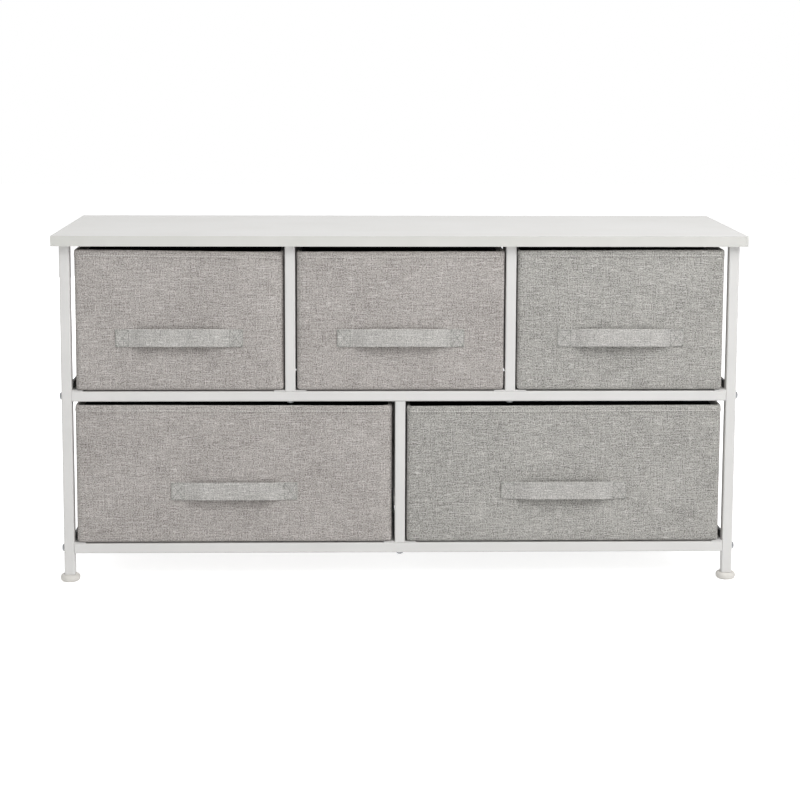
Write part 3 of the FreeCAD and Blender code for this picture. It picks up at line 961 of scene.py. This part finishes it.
    def make_shell(self, name: str, low: Vector, high: Vector, corner: float) -> bpy.types.Object:
        """Starts an open box with rounded edges, and leaves it in edit mode with its rim selected.

        Args:
            name: The piece's name.
            low: The lowest corner.
            high: The highest corner.
            corner: The radius of its edges.

        Returns:
            The box.
        """
        shell = start_block(name, low, high)
        bpy.ops.object.mode_set(mode="EDIT")
        pick(shell, Domain.FACES, lambda face: face.normal.z > self.LOOKS_UP)
        bpy.ops.mesh.delete(type="FACE")
        pick(shell, Domain.EDGES, lambda edge: not edge.is_boundary)
        bpy.ops.mesh.bevel(offset=corner, segments=3, affect="EDGES")
        pick(shell, Domain.EDGES, lambda edge: edge.is_boundary)
        return shell

    def make_cover(self) -> bpy.types.Object:
        """Makes the woven cover with its rolled hem.

        Returns:
            The cover.
        """
        top = self.high - Vector((0, 0, self.HEM_START))
        cover = self.make_shell(f"{self.name}_drawer_fabric", self.low, top, self.corner)
        self.fold_hem()
        for axis in (0, 1):
            cut_across(axis, stations(self.low[axis], self.high[axis], self.grid, self.COVER_CUTS))
        hem = [self.high.z - self.hem_drop + step for step in self.HEM_CUTS]
        panel = stations(self.low.z, min(hem), self.grid, self.COVER_CUTS)
        cut_across(2, panel + hem)
        bpy.ops.object.mode_set(mode="OBJECT")
        lay_weave(cover)
        self.follow(cover)
        soften(cover, self.weave, self.cloth)
        return cover

    def make_lining(self) -> bpy.types.Object:
        """Makes the lining, whose top edge is tucked behind the hem.

        Returns:
            The lining.
        """
        inset = self.wall - self.cloth - self.lining_gap
        low = self.low + Vector((inset, inset, self.lining_rise))
        high = self.high - Vector((inset, inset, self.hem_drop - self.lining_tuck))
        lining = self.make_shell(f"{self.name}_drawer_inside", low, high, self.lining_corner)
        for axis in range(3):
            cut_across(axis, stations(low[axis], high[axis], 2 * self.grid, self.WALL_CUTS))
        bpy.ops.object.mode_set(mode="OBJECT")
        lay_weave(lining)
        middle = (low + high) / 2
        offset = Vector((self.seed, self.LINING_LEVEL, 0))
        for vertex in lining.data.vertices:
            point = vertex.co
            rise = smooth((point.z - low.z) / self.pucker_rise)
            pucker = self.pucker * rise * (1 + noise.noise(point / self.pucker_size + offset))
            for axis in (0, 1):
                if min(point[axis] - low[axis], high[axis] - point[axis]) < self.ON_WALL:
                    vertex.co[axis] += pucker if point[axis] < middle[axis] else -pucker
            vertex.co.y += self.push(point)
        soften(lining, LINING, self.cloth)
        return lining

    def make_boards(self) -> bpy.types.Object:
        """Makes the four stiff boards in the cover's walls, with rounded corners.

        Returns:
            The boards as one piece.
        """
        low = self.low + Vector((self.board_inset, self.board_inset, self.board_foot))
        high = self.high - Vector((self.board_inset, self.board_inset, self.board_head))
        thick = self.board_thickness
        boards: list[bpy.types.Object] = []
        for across in (1, 0):
            along = 1 - across
            for near, far in (
                (low[across], low[across] + thick),
                (high[across] - thick, high[across]),
            ):
                start, stop = low.copy(), high.copy()
                start[across], stop[across] = near, far
                start[along] += self.board_short
                stop[along] -= self.board_short
                board = start_block(f"{self.name}_board_{len(boards)}", start, stop)
                bpy.ops.object.mode_set(mode="EDIT")
                pick(
                    board,
                    Domain.EDGES,
                    lambda edge: abs((edge.verts[0].co - edge.verts[1].co)[across]) > thick / 2,
                )
                bpy.ops.mesh.bevel(offset=self.board_corner, segments=4, affect="EDGES")
                for axis in (along, 2):
                    places = stations(start[axis], stop[axis], 2 * self.grid, self.WALL_CUTS)
                    cut_across(axis, places)
                bpy.ops.object.mode_set(mode="OBJECT")
                for vertex in board.data.vertices:
                    vertex.co += Vector((0, self.push(vertex.co), self.drape(vertex.co).z))
                boards.append(board)
        joined = join(f"{self.name}_drawer_stiffeners", boards)
        paint(joined, GREYBOARD)
        return joined

    def make_strap(self) -> bpy.types.Object:
        """Makes the handle strap, sewn flat at both ends and bowed out between them.

        Returns:
            The strap.
        """
        low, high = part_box(f"{self.name}_handle_strap")
        bow = self.strap_slack * (high.y - low.y - self.strap_thickness)
        middle, seam = (low.x + high.x) / 2, (high.x - low.x) / 2 - self.strap_end
        near = Vector((low.x, high.y - self.strap_thickness, low.z))
        strap = start_block(f"{self.name}_handle", near, high)
        bpy.ops.object.mode_set(mode="EDIT")
        pick(strap, Domain.EDGES, lambda edge: True)
        bpy.ops.mesh.bevel(offset=self.strap_edge, segments=2, affect="EDGES")
        for axis, step in self.STRAP_GRID:
            cut_across(axis, stations(low[axis], high[axis], step, self.STRAP_CUTS))
        bpy.ops.object.mode_set(mode="OBJECT")
        lay_weave(strap)
        self.follow(strap, flat=True)
        for vertex in strap.data.vertices:
            loose = smooth((seam - abs(vertex.co.x - middle)) / self.strap_rise)
            height = (vertex.co.z - low.z) / (high.z - low.z)
            out = bow * loose * (1 - self.strap_flare * height)
            vertex.co += Vector((0, -out, self.strap_lift * out))
        soften(strap, STRAP_LINEN)
        return strap

    def make_hem_seam(self) -> bpy.types.Object:
        """Makes the row of stitches round the hem.

        Returns:
            The stitches.
        """
        level = self.high.z - self.stitch_drop
        clear = self.corner + self.stitch_clear
        rows = []
        for along in (0, 1):
            for side in (self.low[1 - along], self.high[1 - along]):
                start, stop = Vector((side, side, level)), Vector((side, side, level))
                start[along], stop[along] = self.low[along] + clear, self.high[along] - clear
                rows.append(StitchRow(start, stop))
        seam = HEM_SEWING.sew(f"{self.name}_hem_stitching", rows)
        self.follow(seam)
        return seam

    def make_strap_seams(self) -> bpy.types.Object:
        """Makes the crossed box of stitches at each end of the strap.

        Returns:
            The stitches.
        """
        low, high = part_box(f"{self.name}_handle_strap")
        y = high.y - self.strap_thickness
        bottom, top = low.z + self.seam_edge, high.z - self.seam_edge
        near, far = self.seam_edge, self.strap_end - self.seam_end
        rows = []
        for left, right in ((low.x + near, low.x + far), (high.x - far, high.x - near)):
            outline = ((left, bottom), (right, bottom), (right, top), (left, top))
            corners = [Vector((x, y, z)) for x, z in outline]
            rows += [StitchRow(corners[i], corners[(i + 1) % 4]) for i in range(4)]
            rows += [StitchRow(corners[0], corners[2]), StitchRow(corners[1], corners[3])]
        seams = STRAP_SEWING.sew(f"{self.name}_handle_stitching", rows)
        self.follow(seams, flat=True)
        return seams

    def build(self) -> None:
        """Makes the drawer's pieces, hangs them on the drawer's body, and hides the pieces they
        replace.
        """
        cover, lining, boards = self.make_cover(), self.make_lining(), self.make_boards()
        strap, hem_seam = self.make_strap(), self.make_hem_seam()
        strap_seams = self.make_strap_seams()
        slots = (
            (cover, "grey_linen"),
            (lining, "black_lining"),
            (boards, "grey_board"),
            (strap, "grey_webbing"),
            (hem_seam, "grey_linen"),
            (strap_seams, "grey_webbing"),
        )
        for piece, slot in slots:
            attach(piece, f"{self.name}_drawer")
            log.info("%s: %d faces", piece.name, len(piece.data.polygons))
        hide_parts(f"{self.name}_drawer_cover")
        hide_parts(f"{self.name}_drawer_lining")
        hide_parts(f"{self.name}_drawer_wall_boards")
        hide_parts(f"{self.name}_handle_strap")


@dataclass(frozen=True)
class FrameDressing:
    """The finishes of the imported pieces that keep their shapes, by the ends of their names."""

    finishes: tuple[tuple[str, Finish], ...] = (
        ("top_board", MELAMINE),
        ("top_edge_bands", EDGE_BAND_PAINTED_SHADE),
        ("_leg", POWDER_COAT),
        ("_bar", POWDER_COAT),
        ("_post", POWDER_COAT),
        ("_runners", POWDER_COAT),
        ("top_brackets", POWDER_COAT),
        # The runner trims' black is painted shade for the unlit gap beside the drawers.
        ("runner_trims", BLACK_VINYL_AND_PAINTED_SHADE),
        ("post_head_plugs", BLACK_VINYL_AND_PAINTED_SHADE),
        ("frame_bolts", ZINC),
        ("threaded_inserts", ZINC),
        ("bracket_screws", ZINC),
        ("_foot_stud", ZINC),
        ("_foot_pad", WHITE_MOULDING),
        ("_drawer_base", GREYBOARD),
    )

    def dress(self, nodes: dict[str, bpy.types.Object]) -> None:
        """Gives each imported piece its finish.

        Args:
            nodes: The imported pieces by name.
        """
        for name, piece in nodes.items():
            for ending, finish in self.finishes:
                if name.endswith(ending):
                    paint(piece, finish)
                    log.info("%s: %s", name, finish.name)


@dataclass(frozen=True)
class Lamp:
    """A soft square lamp that looks at the middle of the dresser."""

    name: str
    place: tuple[float, float, float]
    size: float
    power: float
    mirrored: bool = True
    target: tuple[float, float, float] = (0.0, 0.0, 0.25)

    def hang(self) -> None:
        """Adds the lamp."""
        light = bpy.data.lights.new(self.name, "AREA")
        light.shape = "SQUARE"
        light.size = self.size
        light.energy = self.power
        lamp = bpy.data.objects.new(self.name, light)
        lamp.location = self.place
        lamp.visible_glossy = self.mirrored
        aim = Vector(self.target) - Vector(self.place)
        lamp.rotation_euler = aim.to_track_quat("-Z", "Y").to_euler()
        bpy.context.scene.collection.objects.link(lamp)


@dataclass(frozen=True)
class Studio:
    """A white room with a floor that keeps a soft shadow, and four soft lamps."""

    # The floor's glow and the room's white show to the camera and in mirrors, and light nothing
    # else. The ambient strength is what lights from all sides.
    floor_size: float = 14.0
    floor_colour: str = "#F2F2F2"
    glow: float = 0.8
    ambient: float = 0.33
    white: float = 1.0
    lamps: tuple[Lamp, ...] = (
        Lamp("key_lamp", (2.2, -2.3, 2.4), 1.4, 51.0, mirrored=False),
        Lamp("fill_lamp", (-2.4, -3.0, 0.8), 2.2, 20.0, mirrored=False),
        Lamp("top_lamp", (0.7, -1.6, 2.9), 1.4, 36.0),
        Lamp("back_lamp", (-0.8, 3.0, 1.0), 2.0, 42.0, mirrored=False),
    )

    def seen(self, tree: bpy.types.NodeTree) -> bpy.types.NodeSocket:
        """Adds the nodes that tell rays which show the room from rays which only light it.

        Args:
            tree: The node tree.

        Returns:
            A socket that is one for camera, mirror and glass rays.
        """
        path = add_node(tree, "ShaderNodeLightPath")
        seen = path.outputs["Is Camera Ray"]
        for kind in ("Is Glossy Ray", "Is Transmission Ray"):
            seen = add_node(
                tree, "ShaderNodeMath", {0: seen, 1: path.outputs[kind]}, operation="MAXIMUM"
            ).outputs[0]
        return seen

    def lay_floor(self) -> None:
        """Lays the floor as paper that shows white, apart from the shadow on it."""
        bpy.ops.object.select_all(action="DESELECT")
        bpy.ops.mesh.primitive_plane_add(size=self.floor_size)
        floor = bpy.context.object
        floor.name = "floor"
        paper = bpy.data.materials.new("white_paper_floor")
        paper.use_nodes = True
        tree = paper.node_tree
        tree.nodes.clear()
        matt = add_node(tree, "ShaderNodeBsdfDiffuse", {"Color": linear(self.floor_colour)})
        strength = add_node(
            tree, "ShaderNodeMath", {0: self.seen(tree), 1: self.glow}, operation="MULTIPLY"
        )
        glow = add_node(tree, "ShaderNodeEmission", {"Strength": strength.outputs[0]})
        both = add_node(tree, "ShaderNodeAddShader", {0: matt.outputs[0], 1: glow.outputs[0]})
        add_node(tree, "ShaderNodeOutputMaterial", {"Surface": both.outputs[0]})
        floor.data.materials.append(paper)

    def light_room(self) -> None:
        """Sets the world, which lights from all sides and shows white."""
        world = bpy.data.worlds.new("white_room")
        bpy.context.scene.world = world
        world.use_nodes = True
        tree = world.node_tree
        tree.nodes.clear()
        light, shown = (
            add_node(
                tree, "ShaderNodeBackground", {"Color": linear("#FFFFFF"), "Strength": strength}
            ).outputs[0]
            for strength in (self.ambient, self.white)
        )
        mixed = add_node(tree, "ShaderNodeMixShader", {0: self.seen(tree), 1: light, 2: shown})
        add_node(tree, "ShaderNodeOutputWorld", {"Surface": mixed.outputs[0]})

    def build(self) -> None:
        """Lays the floor, lights the room and hangs the lamps."""
        self.lay_floor()
        self.light_room()
        for lamp in self.lamps:
            lamp.hang()
            log.info("%s: %.0f W", lamp.name, lamp.power)


@dataclass(frozen=True)
class Viewpoint:
    """The camera: its place, its angles in degrees, its lens and how far its frame is shifted."""

    place: tuple[float, float, float] = (-0.0627, -2.5796, 0.7809)
    pitch: float = 6.486
    yaw: float = 1.441
    roll: float = 0.21
    lens: float = 76.94
    shift: float = -0.2

    def build(self) -> None:
        """Adds the camera and makes it the scene's own."""
        pitch, yaw, roll = (math.radians(angle) for angle in (self.pitch, self.yaw, self.roll))
        ahead = Vector(
            (math.sin(yaw) * math.cos(pitch), math.cos(yaw) * math.cos(pitch), -math.sin(pitch))
        )
        level = Vector((math.cos(yaw), -math.sin(yaw), 0))
        upright = level.cross(ahead)
        right = level * math.cos(roll) + upright * math.sin(roll)
        up = upright * math.cos(roll) - level * math.sin(roll)
        camera = bpy.data.objects.new("camera", bpy.data.cameras.new("camera"))
        camera.data.lens = self.lens
        camera.data.shift_y = self.shift
        turn = Matrix((right, up, -ahead)).transposed().to_4x4()
        camera.matrix_world = Matrix.Translation(self.place) @ turn
        bpy.context.scene.collection.objects.link(camera)
        bpy.context.scene.camera = camera


def set_out_drawers() -> tuple[FabricDrawer, ...]:
    """Sets out the drawers as each stands in its bay, once the frame is loaded.

    Returns:
        The drawers, in the order in which they are built.
    """
    pushed_in = 6.0 * MM
    return (
        FabricDrawer("upper_left", 1, WARM_LINEN, (2.0 * MM, -1.4 * MM), tuck=pushed_in),
        FabricDrawer("upper_middle", 2, WARM_LINEN, (-0.8 * MM, 0.0)),
        FabricDrawer("upper_right", 3, COOL_LINEN, (1.2 * MM, 2.0 * MM)),
        FabricDrawer("lower_left", 4, WARM_LINEN, (1.0 * MM, -0.3 * MM), tuck=pushed_in),
        FabricDrawer("lower_right", 5, COOL_LINEN, (-1.2 * MM, 0.0)),
    )


def main() -> None:
    """Builds the dresser's looks in order."""
    logging.basicConfig(level=logging.INFO, format="%(name)s: %(message)s")
    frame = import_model()
    bpy.context.scene.view_settings.view_transform = "Standard"
    Viewpoint().build()
    Studio().build()
    FrameDressing().dress(frame["nodes"])
    for drawer in set_out_drawers():
        drawer.build()


if __name__ == "__main__":
    main()
